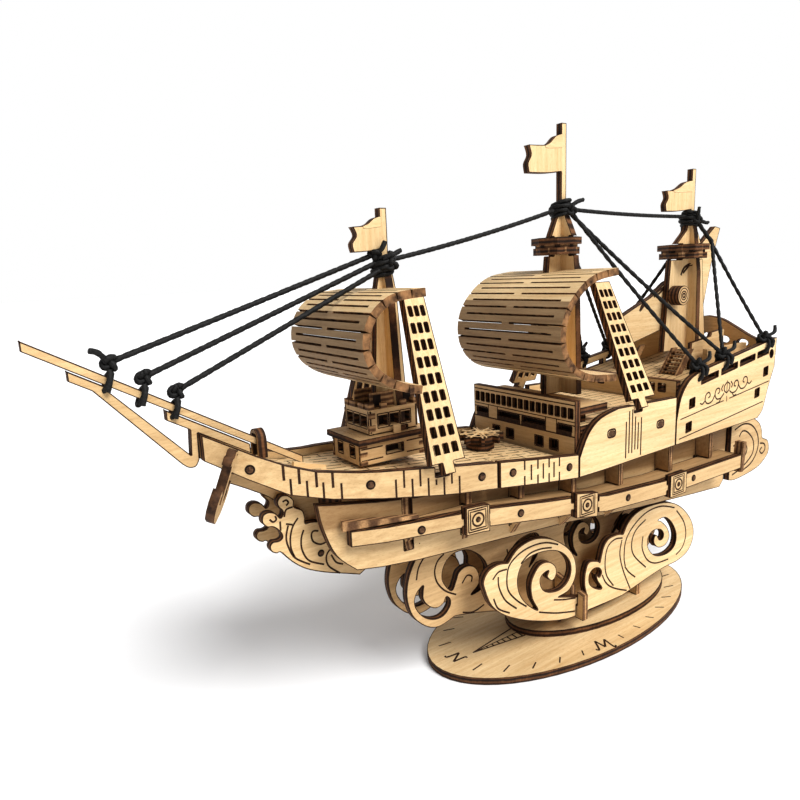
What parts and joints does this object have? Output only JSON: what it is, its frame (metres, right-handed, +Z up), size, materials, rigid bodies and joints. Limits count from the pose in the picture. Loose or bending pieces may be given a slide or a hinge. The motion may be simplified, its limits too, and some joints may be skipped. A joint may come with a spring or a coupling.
{
  "type": "plywood model ship",
  "caption": "Laser-cut plywood kit model of a three-masted sailing ship with bent slatted sails and cord rigging, on carved wave plates over an oval compass base.",
  "frame": {"origin": "underside of the oval base, below the middle of the hull", "axes": "+X to the stern, +Y to starboard, +Z up"},
  "size_m": [0.2451, 0.0526, 0.1568],
  "materials": {
    "ply_light": "bare pale plywood with laser-darkened edges",
    "ply_shaded": "bare plywood with laser-darkened edges",
    "cord": "matt black braided cord"
  },
  "bodies": {
    "ship": {"compass_base": "ply_light", "base_tier": "ply_light", "wave_outer_port": "ply_light", "wave_outer_starboard": "ply_light", "wave_inner_port": "ply_shaded", "wave_inner_starboard": "ply_shaded", "wave_tie_front": "ply_shaded", "wave_tie_rear": "ply_shaded", "keel_and_ribs": "ply_shaded", "hull_skin_port": "ply_light", "hull_skin_starboard": "ply_light", "bow_cheek_port": "ply_shaded", "bow_cheek_starboard": "ply_shaded", "hull_shelf_port": "ply_shaded", "hull_shelf_starboard": "ply_shaded", "wale_port": "ply_light", "wale_starboard": "ply_light", "main_deck": "ply_light", "house_front": "ply_shaded", "fore_mast": "ply_light", "main_mast": "ply_light", "rear_mast": "ply_light", "fore_sail": "ply_shaded", "main_sail": "ply_shaded", "house_deck": "ply_light", "house_roof": "ply_light", "poop_deck": "ply_light", "transom": "ply_shaded", "forecastle": "ply_shaded", "forecastle_cabin": "ply_shaded", "main_nest": "ply_shaded", "rear_nest": "ply_shaded", "lateen_sail": "ply_light", "lateen_boss": "ply_shaded", "fore_ladder_port": "ply_light", "fore_ladder_starboard": "ply_light", "main_ladder_port": "ply_light", "main_ladder_starboard": "ply_light", "gunwale_bow_port": "ply_light", "gunwale_bow_starboard": "ply_light", "gunwale_mid_port": "ply_light", "gunwale_mid_starboard": "ply_light", "gunwale_waist_port": "ply_light", "gunwale_waist_starboard": "ply_light", "quarter_sheet_port": "ply_light", "quarter_sheet_starboard": "ply_light", "bowsprit_spar": "ply_light", "bowsprit_bracket": "ply_light", "bowsprit_ring": "ply_shaded", "stem_curl_port": "ply_light", "stem_curl_starboard": "ply_light", "stern_wave_port": "ply_light", "stern_wave_starboard": "ply_light", "anchor_port": "ply_shaded", "capstan_base": "ply_shaded", "rigging_fore": "cord", "rigging_aft": "cord"},
    "capstan": {"capstan_wheel": "ply_shaded"}
  },
  "joints": [
    {"name": "capstan_spin", "type": "hinge", "parent": "ship", "child": "capstan", "pos_m": [-0.0253, 0, 0.0686], "axis": [0, 0, 1], "continuous": true}
  ]
}
